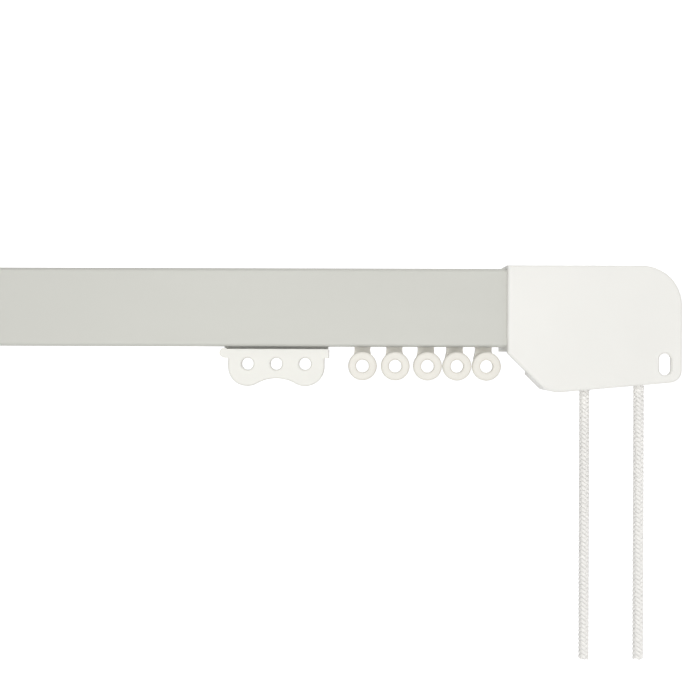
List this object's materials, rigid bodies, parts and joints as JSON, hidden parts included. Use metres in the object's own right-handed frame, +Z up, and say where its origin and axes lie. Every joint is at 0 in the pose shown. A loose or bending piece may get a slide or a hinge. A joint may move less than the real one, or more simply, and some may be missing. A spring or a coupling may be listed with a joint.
{
  "type": "corded curtain track",
  "caption": "Short corded curtain track: satin aluminium rail with a white pulley housing, a return end, a master carrier, ring-eyed gliders and a braided draw cord.",
  "frame": {"origin": "middle of the bracket groove's mouth, on the rail's top face, halfway along the rail", "axes": "+X along the rail towards the cord housing, -Y towards the room, +Z up"},
  "size_m": [0.297, 0.0186, 0.1144],
  "materials": {
    "rail_aluminium": "satin anodised",
    "housing_plastic": "fine satin moulding",
    "carrier_plastic": "satin",
    "glider_plastic": "satin",
    "pulley_plastic": "satin",
    "screw_steel": "zinc plated",
    "cord_fabric": "braided polyester"
  },
  "bodies": {
    "track": {"track_profile": "rail_aluminium", "drive_housing_front": "housing_plastic", "drive_housing_rear": "housing_plastic", "drive_housing_screws": "screw_steel", "drive_axle_front": "screw_steel", "drive_axle_rear": "screw_steel", "idler_housing_front": "housing_plastic", "idler_housing_rear": "housing_plastic", "idler_housing_screws": "screw_steel", "idler_axle": "screw_steel", "tongue_grub_screws": "screw_steel", "draw_cord": "cord_fabric", "front_cord_drop": "cord_fabric", "rear_cord_drop": "cord_fabric"},
    "master_carrier": {"master_carrier": "carrier_plastic", "carrier_cord_clamp": "carrier_plastic", "carrier_clamp_screw": "screw_steel"},
    "glider_1": {"glider_1": "glider_plastic"},
    "glider_2": {"glider_2": "glider_plastic"},
    "glider_3": {"glider_3": "glider_plastic"},
    "glider_4": {"glider_4": "glider_plastic"},
    "glider_5": {"glider_5": "glider_plastic"},
    "drive_pulley_front": {"drive_pulley_front": "pulley_plastic"},
    "drive_pulley_rear": {"drive_pulley_rear": "pulley_plastic"},
    "idler_pulley": {"idler_pulley": "pulley_plastic"}
  },
  "joints": [
    {"name": "master_slide", "type": "slide", "parent": "track", "child": "master_carrier", "axis": [1, 0, 0], "range_m": [-0.135, 0]},
    {"name": "glider_1_slide", "type": "slide", "parent": "track", "child": "glider_1", "axis": [1, 0, 0], "range_m": [-0.12674, 0]},
    {"name": "glider_2_slide", "type": "slide", "parent": "track", "child": "glider_2", "axis": [1, 0, 0], "range_m": [-0.10271, 0]},
    {"name": "glider_3_slide", "type": "slide", "parent": "track", "child": "glider_3", "axis": [1, 0, 0], "range_m": [-0.07851, 0]},
    {"name": "glider_4_slide", "type": "slide", "parent": "track", "child": "glider_4", "axis": [1, 0, 0], "range_m": [-0.05354, 0]},
    {"name": "glider_5_slide", "type": "slide", "parent": "track", "child": "glider_5", "axis": [1, 0, 0], "range_m": [-0.02858, 0]},
    {"name": "drive_pulley_front_spin", "type": "hinge", "parent": "track", "child": "drive_pulley_front", "pos_m": [0.1411, -0.0044, -0.01767], "axis": [0, 1, 0], "range_deg": [-1106, 1]},
    {"name": "drive_pulley_rear_spin", "type": "hinge", "parent": "track", "child": "drive_pulley_rear", "pos_m": [0.1277, 0.0044, -0.01767], "axis": [0, 1, 0], "range_deg": [-1, 1106]},
    {"name": "idler_pulley_spin", "type": "hinge", "parent": "track", "child": "idler_pulley", "pos_m": [-0.122, 0, -0.01068], "axis": [0, 0, 1], "range_deg": [-1759, 1]}
  ],
  "couplings": [
    {"joint": "glider_1_slide", "follows": "master_slide", "ratio": 0.9373},
    {"joint": "glider_2_slide", "follows": "master_slide", "ratio": 0.7593},
    {"joint": "glider_3_slide", "follows": "master_slide", "ratio": 0.5801},
    {"joint": "glider_4_slide", "follows": "master_slide", "ratio": 0.3951},
    {"joint": "glider_5_slide", "follows": "master_slide", "ratio": 0.2102},
    {"joint": "drive_pulley_front_spin", "follows": "master_slide", "rad_per_m": 142.86},
    {"joint": "drive_pulley_rear_spin", "follows": "master_slide", "rad_per_m": -142.86},
    {"joint": "idler_pulley_spin", "follows": "master_slide", "rad_per_m": 227.27}
  ]
}
